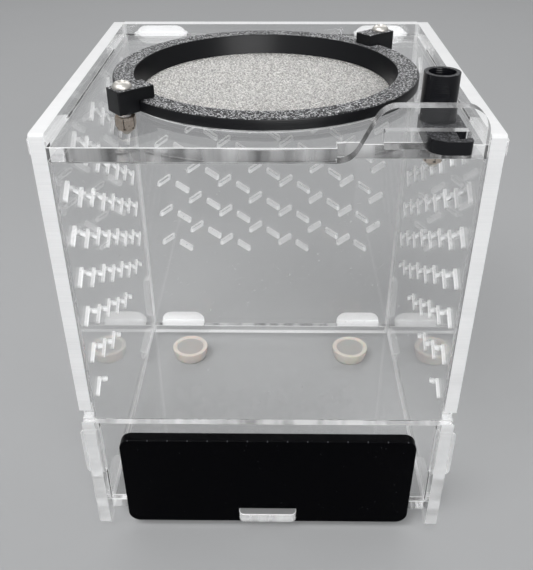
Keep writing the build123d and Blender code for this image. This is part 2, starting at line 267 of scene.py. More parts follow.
def laser_frost(tree, coords, place, across, frost, glossy_below):
    """The light that the cut edges let through, in the range called frost, and the laser's lines on them"""
    # the lines are about 0.4 mm apart and run right through the sheet
    stretch = [1 / laser_line if part == 0 else line_across for part in across]
    lines = add_node(tree, "VectorMath", {0: coords.outputs["Object"], 1: stretch}, operation="MULTIPLY")
    lines = add_node(tree, "TexNoise", {"Vector": lines.outputs[0], "Scale": 1.0, "Detail": 1.0})
    # the frost is thicker and thinner in streaks about 6 mm long, as the laser slowed and sped up
    stretch = [1 / frost_streak if part == 0 else streak_across for part in across]
    streaks = add_node(tree, "VectorMath", {0: coords.outputs["Object"], 1: stretch}, operation="MULTIPLY")
    streaks = add_node(tree, "TexNoise", {"Vector": streaks.outputs[0], "Scale": 1.0, "Detail": 2.0})
    clear = add_node(tree, "MapRange", {0: streaks.outputs[0], 1: 0.38, 2: 0.62, 3: frost[0], 4: frost[1]})
    if glossy_below:
        # the laser ran slower here and left the edge glossier
        heights = {1: glossy_below - glossy_rise, 2: glossy_below}
        low = add_node(tree, "MapRange", {0: place.outputs["Z"], **heights, 3: 0.58, 4: 0.0})
        clear = {0: clear.outputs[0], 1: low.outputs[0]}
        clear = add_node(tree, "Math", clear, operation="ADD", use_clamp=True)
    return clear, lines


def acrylic_sheet(name, across, frost, clear_area=None, glossy_below=None, glue=None, tab_clear=0.55):
    """Laser-cut cast acrylic: clear faces, and cut edges that pass the range of light called frost"""
    # cast acrylic is as clear as glass, and the melt on its cut edges scatters the light white
    material, tree = new_material(name)
    coords = add_node(tree, "TexCoord")
    place = add_node(tree, "SeparateXYZ", {0: coords.outputs["Object"]})
    facing = add_node(tree, "VectorMath", {0: coords.outputs["Normal"], 1: across}, operation="DOT_PRODUCT")
    facing = add_node(tree, "Math", {0: facing.outputs["Value"]}, operation="ABSOLUTE")
    flat = add_node(tree, "Math", {0: facing.outputs[0], 1: 0.9}, operation="GREATER_THAN")
    cut = add_node(tree, "Math", {0: facing.outputs[0], 1: 0.3}, operation="LESS_THAN")
    # beyond the clear area the faces belong to tabs: glue has clouded them, so they pass only tab_clear
    face = inside_area(tree, flat, place, clear_area) if clear_area else flat
    tab = add_node(tree, "Math", {0: flat.outputs[0], 1: face.outputs[0]}, operation="SUBTRACT")
    tab = add_node(tree, "Math", {0: tab.outputs[0], 1: tab_clear}, operation="MULTIPLY")
    if glue:
        face = outside_glue(tree, face, coords, place, across, glue)
    cut_clear, lines = laser_frost(tree, coords, place, across, frost, glossy_below)
    cut_clear = add_node(tree, "Math", {0: cut_clear.outputs[0], 1: cut.outputs[0]}, operation="MULTIPLY")
    # dust specks of 0.3 mm and faint wiping marks on the polished faces
    dust = {"Vector": coords.outputs["Object"], "Scale": dust_per_mm / MM, "Detail": 1.0}
    dust = add_node(tree, "TexNoise", dust)
    face_clear = add_node(tree, "MapRange", {0: dust.outputs[0], 1: 0.74, 2: 0.8, 3: 1.0, 4: 0.55})
    smear = {"Vector": coords.outputs["Object"], "Scale": smear_per_mm / MM, "Detail": 4.0}
    smear = add_node(tree, "TexNoise", smear)
    smear_rough = add_node(tree, "MapRange", {0: smear.outputs[0], 1: 0.55, 2: 0.8, 3: 0.0, 4: 0.015})
    cut_rough = add_node(tree, "MapRange", {0: cut_clear.outputs[0], 1: 0.1, 2: 0.8, 3: 0.36, 4: 0.12})
    rough = add_node(tree, "Mix", {0: face.outputs[0], 2: cut_rough.outputs[0], 3: smear_rough.outputs[0]})
    clear = add_node(tree, "Mix", {0: face.outputs[0], 2: cut_clear.outputs[0], 3: face_clear.outputs[0]})
    clear = {0: clear.outputs[0], 1: tab.outputs[0]}
    clear = add_node(tree, "Math", clear, operation="ADD", use_clamp=True)
    tones = {6: linear("#FFFFFF"), 7: linear("#F0F1F2")}
    cut_tone = add_node(tree, "Mix", {0: lines.outputs[0], **tones}, data_type="RGBA")
    tones = {6: cut_tone.outputs[2], 7: linear("#FDFDFD")}
    colour = add_node(tree, "Mix", {0: face.outputs[0], **tones}, data_type="RGBA")
    height = add_node(tree, "Math", {0: lines.outputs[0], 1: cut.outputs[0]}, operation="MULTIPLY")
    bump = add_node(tree, "Bump", {"Height": height.outputs[0], "Strength": 0.1, "Distance": 0.05 * MM})
    shader = add_node(
        tree,
        "BsdfPrincipled",
        {
            "Base Color": colour.outputs[2],
            "Roughness": rough.outputs[0],
            "Transmission Weight": clear.outputs[0],
            "IOR": 1.49,
            "Normal": bump.outputs[0],
        },
    )
    # the lamps shine through the faces, and a little less through the edges
    path = add_node(tree, "LightPath")
    lets_by = add_node(tree, "MapRange", {0: face.outputs[0], 1: 0.0, 2: 1.0, 3: 0.8, 4: 1.0})
    passing = {0: path.outputs["Is Shadow Ray"], 1: lets_by.outputs[0]}
    passing = add_node(tree, "Math", passing, operation="MULTIPLY")
    passed = add_node(tree, "BsdfTransparent", {"Color": linear("#FAFAFA")})
    both = add_node(tree, "MixShader", {0: passing.outputs[0], 1: shader.outputs[0], 2: passed.outputs[0]})
    add_node(tree, "OutputMaterial", {"Surface": both.outputs[0]})
    return material


def take(piece):
    """Selects one piece by itself and makes it the active one"""
    bpy.ops.object.select_all(action="DESELECT")
    piece.select_set(True)
    bpy.context.view_layer.objects.active = piece


def modify(piece, kind, **settings):
    """Adds one modifier and applies it"""
    take(piece)
    added = piece.modifiers.new(kind.lower(), kind)
    for name, value in settings.items():
        setattr(added, name, value)
    bpy.ops.object.modifier_apply(modifier=added.name)


def eased_sheet(node, name, finish, body, arris=0.22):
    """Copy of a cut sheet, merged into flat faces, with the fine bright arrises left by the laser's melt"""
    piece = bpy.data.objects.new(name, nodes[node].data.copy())
    piece.data.name = name
    scene.collection.objects.link(piece)
    take(piece)
    bpy.ops.object.mode_set(mode="EDIT")
    bpy.ops.mesh.select_all(action="SELECT")
    bpy.ops.mesh.remove_doubles(threshold=5e-6)
    bpy.ops.mesh.dissolve_limited(angle_limit=math.radians(0.5))
    bpy.ops.object.mode_set(mode="OBJECT")
    modify(piece, "BEVEL", width=arris * MM, segments=1, limit_method="ANGLE", angle_limit=math.radians(35))
    bpy.ops.object.mode_set(mode="EDIT")
    close_up(piece, finish, angle=30, flat_above=20)
    # slivers beside the polished faces must not bend their shine
    thin = min(range(3), key=lambda part: piece.dimensions[part])
    for face in piece.data.polygons:
        if abs(face.normal[thin]) > 0.9:
            face.use_smooth = False
    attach(piece, body)
    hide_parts(node)


sheet = 4.0
seam = 0.7
guard_gap = 6.8
back_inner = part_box("back_panel")[1].y - sheet * MM
front_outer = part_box("lower_front_panel")[0].y
side_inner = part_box("front_guard")[1].x + guard_gap * MM
top_low, top_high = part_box("top_panel")
floor_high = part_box("floor_panel")[1]
door_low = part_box("front_door")[0]
tab_x = 42.0
upper_rise, lower_drop = 1.4, 0.4
upper_patch, lower_patch = top_low.z + upper_rise * MM, floor_high.z - lower_drop * MM
patch_long, patch_high, patch_round = 20.0, 10.0, 4.5
glue_patches = {
    "middle": (0.0, 0.0, (upper_patch + lower_patch) / 2),
    "apart": (tab_x * MM, 0.0, (upper_patch - lower_patch) / 2),
    "straight": ((patch_long / 2 - patch_round) * MM, 0.0, (patch_high / 2 - patch_round) * MM),
    "round": patch_round * MM,
    "inner": back_inner + sheet / 2 * MM,
}
sheet_middle = side_inner - seam * MM
side_sheet = acrylic_sheet("side_sheet_acrylic", (1.0, 0.0, 0.0), (0.02, 0.12), glossy_below=door_low.z)
back_sheet = acrylic_sheet(
    "back_sheet_acrylic", (0.0, 1.0, 0.0), (0.0, 0.06), (sheet_middle, -1.0, 1.0), glue=glue_patches
)
front_sheet = acrylic_sheet("front_sheet_acrylic", (0.0, 1.0, 0.0), (0.6, 0.9), (side_inner, -1.0, 1.0))
floor_area = (sheet_middle, front_outer, back_inner)
floor_sheet = acrylic_sheet(
    "floor_sheet_acrylic", (0.0, 0.0, 1.0), (0.55, 0.85), floor_area, tab_clear=0.85
)
top_area = (side_inner, -1.0, back_inner)
top_sheet = acrylic_sheet("top_sheet_acrylic", (0.0, 0.0, 1.0), (0.65, 0.95), top_area)
for node, finish in (
    ("left_side_panel", side_sheet),
    ("right_side_panel", side_sheet),
    ("back_panel", back_sheet),
    ("lower_front_panel", front_sheet),
    ("top_panel", top_sheet),
    ("floor_panel", floor_sheet),
):
    eased_sheet(node, f"acrylic_{node}", finish, "box")


# Black guard: a plate of black acrylic glued to the lower front panel, with
# the floor's clear tab through it. Its faces are polished and its cut edges
# satin, with pale specks painted along the top at even steps.
guard_low, guard_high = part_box("front_guard")
speck_step = 6.6 * MM
speck_size = 0.2 * MM
guard_dust_per_mm = 1.4

# black cast acrylic: its polished faces are deep black with little shine, and its edges are satin
guard_finish, tree = new_material("black_cast_acrylic")
coords = add_node(tree, "TexCoord")
facing = add_node(
    tree, "VectorMath", {0: coords.outputs["Normal"], 1: (0.0, 1.0, 0.0)}, operation="DOT_PRODUCT"
)
facing = add_node(tree, "Math", {0: facing.outputs["Value"]}, operation="ABSOLUTE")
face = add_node(tree, "Math", {0: facing.outputs[0], 1: 0.9}, operation="GREATER_THAN")
dust = {"Vector": coords.outputs["Object"], "Scale": guard_dust_per_mm / MM, "Detail": 1.0}
dust = add_node(tree, "TexNoise", dust)
dust = add_node(tree, "MapRange", {0: dust.outputs[0], 1: 0.77, 2: 0.82, 3: 0.0, 4: 0.5})
place = add_node(tree, "SeparateXYZ", {0: coords.outputs["Object"]})
# pale specks painted at even steps along the top front edge
even_speck = add_node(tree, "Math", {0: place.outputs["X"], 1: speck_step / 2}, operation="PINGPONG")
even_speck = add_node(tree, "Math", {0: even_speck.outputs[0], 1: speck_size}, operation="LESS_THAN")
high = add_node(
    tree, "Math", {0: place.outputs["Z"], 1: guard_high.z - 2 * speck_size}, operation="GREATER_THAN"
)
front = add_node(
    tree, "Math", {0: place.outputs["Y"], 1: guard_low.y + 2 * speck_size}, operation="LESS_THAN"
)
even_speck = add_node(tree, "Math", {0: even_speck.outputs[0], 1: high.outputs[0]}, operation="MULTIPLY")
even_speck = add_node(tree, "Math", {0: even_speck.outputs[0], 1: front.outputs[0]}, operation="MULTIPLY")
speck = add_node(tree, "Math", {0: even_speck.outputs[0], 1: dust.outputs[0]}, operation="MAXIMUM")
colour = add_node(
    tree, "Mix", {0: speck.outputs[0], 6: linear("#010103"), 7: linear("#47484B")}, data_type="RGBA"
)
rough = add_node(tree, "MapRange", {0: face.outputs[0], 1: 0.0, 2: 1.0, 3: 0.34, 4: 0.05})
rough = add_node(tree, "Math", {0: rough.outputs[0], 1: speck.outputs[0]}, operation="MAXIMUM")
shader = add_node(
    tree,
    "BsdfPrincipled",
    {
        "Base Color": colour.outputs[2],
        "Roughness": rough.outputs[0],
        "IOR": 1.49,
        "Specular IOR Level": 0.06,
    },
)
add_node(tree, "OutputMaterial", {"Surface": shader.outputs[0]})
eased_sheet("front_guard", "acrylic_front_guard", guard_finish, "box")


# Front door: one clear sheet that hangs on the two ears at its lower corners,
# with the slotted pull at its upper right. It is cut from the same acrylic.
door_sheet = acrylic_sheet("door_sheet_acrylic", (0.0, 1.0, 0.0), (0.65, 0.95))
eased_sheet("front_door", "acrylic_front_door", door_sheet, "door", arris=0.42)


# Feet: four moulded bumpers of milky rubber, stuck under the floor. Each is
# recessed inside its rim, where the recess is painted greyer as its shade,
# and it is rounded where it meets the table.
def turned(name, middle, profile, segments=64, ring=False):
    """Turns points of radius and height in mm about an upright axis: a flat-ended solid or a closed ring"""
    points = [(radius * MM, height * MM) for radius, height in profile]
    points += points[:1] * ring
    centre = (middle[0] * MM, middle[1] * MM)
    radius, height = points[0]
    piece = begin(
        bpy.ops.mesh.primitive_circle_add,
        name,
        vertices=segments,
        radius=radius,
        fill_type="NOTHING" if ring else "NGON",
        location=(*centre, height),
    )
    for next_radius, next_height in points[1:]:
        bpy.ops.mesh.extrude_region_move(TRANSFORM_OT_translate={"value": (0, 0, next_height - height)})
        ratio = next_radius / radius
        bpy.ops.transform.resize(value=(ratio, ratio, 1), center_override=(*centre, next_height))
        radius, height = next_radius, next_height
    return piece


foot_x = 37.0
foot_ys = (-38.8, 41.2)
recess_level = 5.5
foot_outline = [
    (6.0, recess_level), (6.4, 5.96), (7.8, 5.96), (8.0, 5.7), (7.8, 4.2), (7.3, 2.0), (6.9, 0.8), (6.3, 0.2),
    (5.6, 0.0), (2.6, 0.0), (2.2, 0.7),
]
cloud_per_mm = 0.35

# moulded soft rubber: milky and half matt, and light soaks into it a little
rubber, tree = new_material("milky_foot_rubber")
coords = add_node(tree, "TexCoord")
cloud = {"Vector": coords.outputs["Object"], "Scale": cloud_per_mm / MM, "Detail": 3.0}
cloud = add_node(tree, "TexNoise", cloud)
milk = add_node(
    tree, "Mix", {0: cloud.outputs[0], 6: linear("#E8E2D9"), 7: linear("#D8D1C7")}, data_type="RGBA"
)
place = add_node(tree, "SeparateXYZ", {0: coords.outputs["Object"]})
# painted shade: the recessed disc inside the rim is coloured greyer than the rubber
recess_shade = add_node(
    tree, "Math", {0: place.outputs["Z"], 1: recess_level * MM, 2: 0.1 * MM}, operation="COMPARE"
)
facing = add_node(tree, "SeparateXYZ", {0: coords.outputs["Normal"]})
upward = add_node(tree, "Math", {0: facing.outputs["Z"], 1: 0.9}, operation="GREATER_THAN")
recess_shade = add_node(tree, "Math", {0: recess_shade.outputs[0], 1: upward.outputs[0]}, operation="MULTIPLY")
colour = add_node(
    tree, "Mix", {0: recess_shade.outputs[0], 6: milk.outputs[2], 7: linear("#AEABA7")}, data_type="RGBA"
)
rough = add_node(tree, "MapRange", {0: cloud.outputs[0], 1: 0.3, 2: 0.7, 3: 0.42, 4: 0.6})
shader = add_node(
    tree,
    "BsdfPrincipled",
    {
        "Base Color": colour.outputs[2],
        "Roughness": rough.outputs[0],
        "Subsurface Weight": 0.4,
        "Subsurface Scale": 2 * MM,
    },
)
add_node(tree, "OutputMaterial", {"Surface": shader.outputs[0]})

for side, x in (("left", -foot_x), ("right", foot_x)):
    for end, y in zip(("front", "rear"), foot_ys):
        foot = turned(f"rubber_foot_{end}_{side}", (x, y), foot_outline, 48)
        close_up(foot, rubber)
        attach(foot, "box")
        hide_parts(f"foot_{end}_{side}")


# Vent frame: a ring printed in black plastic, lying with its flange on the
# top panel and its sleeve in the hole. Its top, which lay on the printer's
# textured plate, is sandy, and its glitter is painted on as bright grains;
# its walls are smooth.
grain_width = 0.4 * MM
layer_drawn = 0.5 * MM


def printed_plastic(name, wall="#0F1013", shine=0.34, glint_colour="#EDEEF0"):
    """Printed black plastic: sandy on top with painted glints, smooth with fine layers on its walls"""
    # extruded plastic copies the plate it is laid on, and its walls keep a soft sheen
    material, tree = new_material(name)
    coords = add_node(tree, "TexCoord")
    split = add_node(tree, "SeparateXYZ", {0: coords.outputs["Normal"]})
    top = add_node(tree, "MapRange", {0: split.outputs["Z"], 1: 0.8, 2: 0.95, 3: 0.0, 4: 1.0})
    # grains about 0.4 mm wide, almost half of them painted bright as glints
    grains = add_node(tree, "TexVoronoi", {"Vector": coords.outputs["Object"], "Scale": 1 / grain_width})
    tint = add_node(tree, "SeparateColor", {0: grains.outputs["Color"]})
    lit = add_node(tree, "MapRange", {0: tint.outputs[0], 1: 0.42, 2: 0.8, 3: 0.0, 4: 1.0})
    core = add_node(tree, "MapRange", {0: grains.outputs["Distance"], 1: 0.4, 2: 0.65, 3: 1.0, 4: 0.1})
    speck = add_node(tree, "Math", {0: lit.outputs[0], 1: core.outputs[0]}, operation="MULTIPLY")
    speck = add_node(tree, "Math", {0: speck.outputs[0], 1: top.outputs[0]}, operation="MULTIPLY")
    # painted glints: on the top the bright grains are coloured near white, a highlight painted into the
    # plastic
    colour = add_node(
        tree, "Mix", {0: speck.outputs[0], 6: linear(wall), 7: linear(glint_colour)}, data_type="RGBA"
    )
    # the layers are 0.2 mm high, and drawn 0.5 mm high so that they show
    place = add_node(tree, "SeparateXYZ", {0: coords.outputs["Object"]})
    layer = {0: place.outputs["Z"], 1: 2 * math.pi / layer_drawn}
    layer = add_node(tree, "Math", layer, operation="MULTIPLY")
    layer = add_node(tree, "Math", {0: layer.outputs[0]}, operation="SINE")
    relief = add_node(
        tree, "Mix", {0: top.outputs[0], 2: layer.outputs[0], 3: grains.outputs["Distance"]}
    )
    strength = add_node(tree, "MapRange", {0: top.outputs[0], 1: 0.0, 2: 1.0, 3: 0.06, 4: 0.6})
    bump = add_node(
        tree,
        "Bump",
        {"Height": relief.outputs[0], "Strength": strength.outputs[0], "Distance": 0.2 * MM},
    )
    rough = add_node(tree, "MapRange", {0: top.outputs[0], 1: 0.0, 2: 1.0, 3: shine, 4: 0.55})
    shader = add_node(
        tree,
        "BsdfPrincipled",
        {
            "Base Color": colour.outputs[2],
            "Roughness": rough.outputs[0],
            "Specular IOR Level": 0.35,
            "Normal": bump.outputs[0],
        },
    )
    add_node(tree, "OutputMaterial", {"Surface": shader.outputs[0]})
    return material


ring_low, ring_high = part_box("vent_frame")
vent_middle = ((ring_low.x + ring_high.x) / 2 / MM, (ring_low.y + ring_high.y) / 2 / MM)
ring_under = ring_low.z / MM
top_face = top_high.z / MM
ring_top = ring_high.z / MM
ring_bore, rim_bore, sleeve, flange = 39.4, 41.3, 45.8, 48.0
groove_low, groove_high, groove_radius = 0.5, 1.1, 41.0
bore_lean = (rim_bore - ring_bore) / (ring_top - ring_under)
ring_outline = [
    (ring_bore + 0.2, ring_under),
    (sleeve - 0.2, ring_under),
    (sleeve, ring_under + 0.2),
    (sleeve, top_face),
    (flange - 0.15, top_face),
    (flange, top_face + 0.15),
    (flange, ring_top - 0.6),
    (flange - 0.2, ring_top - 0.2),
    (flange - 0.6, ring_top),
    (rim_bore + 0.15, ring_top),
    (rim_bore, ring_top - 0.15),
    (ring_bore + bore_lean * groove_high, ring_under + groove_high),
    (groove_radius, ring_under + groove_high),
    (groove_radius, ring_under + groove_low),
    (ring_bore + bore_lean * groove_low, ring_under + groove_low),
    (ring_bore, ring_under + 0.2),
]
ring_plastic = printed_plastic("printed_ring_plastic")
vent_ring = turned("printed_vent_ring", vent_middle, ring_outline, 256, ring=True)
close_up(vent_ring, ring_plastic, flat_above=5)
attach(vent_ring, "box")
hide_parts("vent_frame")


# Vent mesh: plain-woven stainless steel wire, held in the ring's groove. The
# wires pass over and under each other; the real cloth is a little finer than
# the 1 mm pitch drawn here, which is as fine as the picture can show.
wire_pitch = 1.0 * MM
wire_radius = 0.15 * MM
cloth_level = (ring_under + (groove_low + groove_high) / 2) * MM
cloth_radius = 40.6 * MM
cloth_middle = Vector((vent_middle[0] * MM, vent_middle[1] * MM, cloth_level))
wire_count = 84
patch_per_mm = 1.9

# drawn stainless wire: bright and half matt, so that the cloth sparkles grey
steel, tree = new_material("woven_stainless_wire")
coords = add_node(tree, "TexCoord")
# the cloth is uneven: its wires are brighter and darker over about 0.6 mm, which breaks up the weave
patch = {"Vector": coords.outputs["Object"], "Scale": patch_per_mm / MM, "Detail": 3.0}
patch = add_node(tree, "TexNoise", patch)
patch = add_node(tree, "MapRange", {0: patch.outputs[0], 1: 0.38, 2: 0.62, 3: 0.0, 4: 1.0})
colour = add_node(
    tree, "Mix", {0: patch.outputs[0], 6: linear("#F6F4F1"), 7: linear("#A5A3A0")}, data_type="RGBA"
)
shader = add_node(
    tree,
    "BsdfPrincipled",
    {"Base Color": colour.outputs[2], "Roughness": 0.38, "Metallic": 1.0},
)
add_node(tree, "OutputMaterial", {"Surface": shader.outputs[0]})

warp = begin(
    bpy.ops.mesh.primitive_cylinder_add,
    "mesh_warp_wires",
    vertices=6,
    radius=wire_radius,
    depth=2 * wire_pitch,
    end_fill_type="NOTHING",
    rotation=(0, math.pi / 2, 0),
)
pick(warp, "EDGE", lambda middle, edge: abs(middle.x) < 0.1 * wire_pitch)
bpy.ops.mesh.subdivide(number_cuts=3)
for place, lift in ((-1.0, 1), (0.0, -1), (1.0, 1)):
    pick(warp, "VERT", lambda middle, vertex: abs(middle.x - place * wire_pitch) < 0.1 * wire_pitch)
    bpy.ops.transform.translate(value=(0, 0, lift * wire_radius))
bpy.ops.mesh.select_all(action="SELECT")
first_row = -wire_pitch * (wire_count / 2 - 1)
first_place = (cloth_middle.x + first_row, cloth_middle.y + first_row - wire_pitch, cloth_level)
bpy.ops.transform.translate(value=first_place)
bpy.ops.object.mode_set(mode="OBJECT")
for count, offset in (
    (wire_count // 2, (2 * wire_pitch, 0, 0)),
    (2, (wire_pitch, wire_pitch, 0)),
    (wire_count // 2, (0, 2 * wire_pitch, 0)),
):
    modify(
        warp,
        "ARRAY",
        count=count,
        use_relative_offset=False,
        use_constant_offset=True,
        constant_offset_displace=offset,
        use_merge_vertices=offset[1] == 0,
        merge_threshold=0.01 * wire_pitch,
    )
bpy.ops.object.mode_set(mode="EDIT")
pick(warp, "VERT", lambda middle, vertex: (middle.xy - cloth_middle.xy).length > cloth_radius)
bpy.ops.mesh.delete(type="VERT")
bpy.ops.mesh.select_all(action="SELECT")
bpy.ops.mesh.fill_holes(sides=0)
close_up(warp, steel, angle=80)
weft = warp.copy()
weft.data = warp.data.copy()
weft.name = weft.data.name = "mesh_weft_wires"
scene.collection.objects.link(weft)
take(weft)
bpy.ops.object.mode_set(mode="EDIT")
bpy.ops.mesh.select_all(action="SELECT")
bpy.ops.transform.rotate(value=math.pi / 2, orient_axis="Z", center_override=cloth_middle)
bpy.ops.transform.resize(value=(1, 1, -1), center_override=cloth_middle)
close_up(weft, steel, angle=80)
for cloth in (warp, weft):
    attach(cloth, "box")
    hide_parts("vent_mesh")


# Clamps: two printed hooks beside the ring, each a block with a finger over
# the ring's rim and a screw down through it. Printed in the ring's plastic.
def combine(piece, other, operation):
    """Joins another solid to a piece, or cuts it out, and removes that solid"""
    modify(piece, "BOOLEAN", object=other, operation=operation, solver="EXACT")
    bpy.data.objects.remove(other)


clamp_half = 3.4
clamp_back = 3.3
finger_low = 3.2
clamp_high = 6.8
finger_reach = 5.0
clamp_ease = 0.3
sharp = math.radians(40)
screw_hole = 1.6
clamp_distance = flange + clamp_back
clamp_places = []
for turn in (219.5, 39.5):
    aside = clamp_distance * math.cos(math.radians(turn))
    along = clamp_distance * math.sin(math.radians(turn))
    clamp_places.append((vent_middle[0] + aside, vent_middle[1] + along, turn + 180))

clamp_plastic = printed_plastic("printed_clamp_plastic")
for name, (x, y, turn) in zip(("front", "rear"), clamp_places):
    clamp = begin(bpy.ops.mesh.primitive_cube_add, f"printed_{name}_clamp", size=2 * clamp_back * MM)
    centre = Vector((0, 0, 0))
    block = (1, clamp_half / clamp_back, clamp_high / (2 * clamp_back))
    bpy.ops.transform.resize(value=block, center_override=centre)
    bpy.ops.transform.translate(value=(0, 0, clamp_high / 2 * MM))
    bpy.ops.mesh.bisect(plane_co=(0, 0, finger_low * MM), plane_no=(0, 0, 1))
    pick(
        clamp, "FACE", lambda middle, face: middle.x > 0.9 * clamp_back * MM and middle.z > finger_low * MM
    )
    bpy.ops.mesh.extrude_region_move(TRANSFORM_OT_translate={"value": (finger_reach * MM, 0, 0)})
    bpy.ops.mesh.select_all(action="SELECT")
    bpy.ops.transform.rotate(value=-math.radians(turn), orient_axis="Z", center_override=centre)
    bpy.ops.transform.translate(value=(x * MM, y * MM, top_face * MM))
    close_up(clamp, clamp_plastic)
    hole = turned("hole", (x, y), [(screw_hole, top_face - 1), (screw_hole, top_face + clamp_high + 1)], 32)
    close_up(hole, clamp_plastic)
    combine(clamp, hole, "DIFFERENCE")
    modify(clamp, "BEVEL", width=clamp_ease * MM, segments=2, limit_method="ANGLE", angle_limit=sharp)
    bpy.ops.object.mode_set(mode="EDIT")
    close_up(clamp, clamp_plastic, flat_above=4)
    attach(clamp, "box")
    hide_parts(f"{name}_vent_clamp")


# Screws: stainless button-head machine screws, size M3, with a hexagonal key
# socket. Two hold the clamps, and the latch turns on the plain head of the
# third. Their rolled threads show under the top panel.
scuff_per_mm = 0.9

# turned and tumbled stainless steel: bright, with scuffs that blur its shine
screw_steel, tree = new_material("bright_stainless_steel")
coords = add_node(tree, "TexCoord")
scuff = {"Vector": coords.outputs["Object"], "Scale": scuff_per_mm / MM, "Detail": 3.0}
scuff = add_node(tree, "TexNoise", scuff)
colour = add_node(
    tree, "Mix", {0: scuff.outputs[0], 6: linear("#F6F3EE"), 7: linear("#D8D3CB")}, data_type="RGBA"
)
rough = add_node(tree, "MapRange", {0: scuff.outputs[0], 1: 0.3, 2: 0.7, 3: 0.36, 4: 0.5})
shader = add_node(
    tree,
    "BsdfPrincipled",
    {"Base Color": colour.outputs[2], "Roughness": rough.outputs[0], "Metallic": 1.0},
)
add_node(tree, "OutputMaterial", {"Surface": shader.outputs[0]})

thread_pitch = 0.5
thread_root = 1.22
thread_crest = 1.5
thread_sink = 0.12
thread_steps = 28
thread_start, thread_short = 0.4, 1.2
point = 0.3
head_outline = [
    (1.25, -0.4), (1.45, 0.0), (2.75, 0.0), (2.85, 0.12), (2.85, 0.3), (2.72, 0.68), (2.5, 1.0), (2.2, 1.3),
    (1.86, 1.52), (1.6, 1.63), (1.3, 1.65),
]
key_radius = 1.16
key_floor, key_end = 0.65, 2.5


def button_screw(name, middle, under_head, length):
    """Button-head screw: a domed head with its socket, a plain core, and the thread wound round it"""
    screw = turned(name, middle, [(radius, under_head + rise) for radius, rise in head_outline], 48)
    close_up(screw, screw_steel)
    key_levels = (under_head + key_floor, under_head + key_end)
    key = turned("key", middle, [(key_radius, level) for level in key_levels], 6)
    close_up(key, screw_steel)
    combine(screw, key, "DIFFERENCE")
    tip = under_head - length
    core = turned(
        "core",
        middle,
        [(thread_root - point, tip), (thread_root, tip + point), (thread_root, under_head - 0.2)],
        32,
    )
    close_up(core, screw_steel)
    turns = int((length - thread_short) / thread_pitch)
    # the thread's section is a triangle, whose height is 1.5 times its radius
    coil = begin(
        bpy.ops.mesh.primitive_circle_add,
        "coil",
        vertices=3,
        radius=(thread_crest - thread_root + thread_sink) / 1.5 * MM,
        fill_type="NOTHING",
        rotation=(math.pi / 2, math.pi / 2, 0),
        location=(0, 0, 0),
    )
    outermost = max(vertex.co.x for vertex in bmesh.from_edit_mesh(coil.data).verts)
    bpy.ops.transform.translate(value=(thread_crest * MM - outermost, 0, 0))
    bpy.ops.object.mode_set(mode="OBJECT")
    modify(
        coil,
        "SCREW",
        axis="Z",
        angle=2 * math.pi,
        screw_offset=thread_pitch * MM,
        iterations=turns,
        steps=thread_steps,
        render_steps=thread_steps,
    )
    bpy.ops.object.mode_set(mode="EDIT")
    bpy.ops.mesh.select_all(action="SELECT")
    bpy.ops.transform.translate(value=(middle[0] * MM, middle[1] * MM, (tip + thread_start) * MM))
    bpy.ops.mesh.fill_holes(sides=3)
    close_up(coil, screw_steel, angle=50)
    bpy.ops.object.select_all(action="DESELECT")
    for part in (screw, core, coil):
        part.select_set(True)
    bpy.context.view_layer.objects.active = screw
    bpy.ops.object.join()
    return screw


pivot_low, pivot_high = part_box("latch_screw")
pivot = ((pivot_low.x + pivot_high.x) / 2 / MM, (pivot_low.y + pivot_high.y) / 2 / MM)
head_high = 1.65
clamp_screw_length = 16.0
latch_screw_length = 12.0
for name, middle, under_head, length, node in (
    ("front_clamp_screw", clamp_places[0][:2], top_face + clamp_high, clamp_screw_length, "clamp_screws"),
    ("rear_clamp_screw", clamp_places[1][:2], top_face + clamp_high, clamp_screw_length, "clamp_screws"),
    ("latch_pivot_screw", pivot, pivot_high.z / MM - head_high, latch_screw_length, "latch_screw"),
):
    screw = button_screw(name, middle, under_head, length)
    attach(screw, "box")
    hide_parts(node)


# Lock nuts: M3 nuts of yellowed zinc-plated steel under the top panel, each a
# chamfered hexagon with a round collar below it. The collar grips the thread.
nut_across = 5.5
nut_top = top_low.z / MM
nut_hex = 2.9
nut_high = 4.0
nut_bore = 1.55
nut_corner_ease = 0.16
chamfer_outline = [(2.75, 0.01), (3.2, -0.25), (3.2, -2.6), (2.7, -nut_hex - 0.01)]
collar_outline = [(2.6, -2.6), (2.6, -3.5), (2.45, -3.85), (2.2, -nut_high), (1.9, -nut_high)]
nut_places = [clamp_places[0][:2], clamp_places[1][:2], pivot]
nut_scuff_per_mm = 1.2

# zinc-plated steel, yellowed by its passivation: a warm shine, and painted shade along the corners
nut_steel, tree = new_material("zinc_plated_steel")
coords = add_node(tree, "TexCoord")
scuff = {"Vector": coords.outputs["Object"], "Scale": nut_scuff_per_mm / MM, "Detail": 3.0}
scuff = add_node(tree, "TexNoise", scuff)
plating = add_node(
    tree, "Mix", {0: scuff.outputs[0], 6: linear("#E6DACD"), 7: linear("#CDBDAE")}, data_type="RGBA"
)
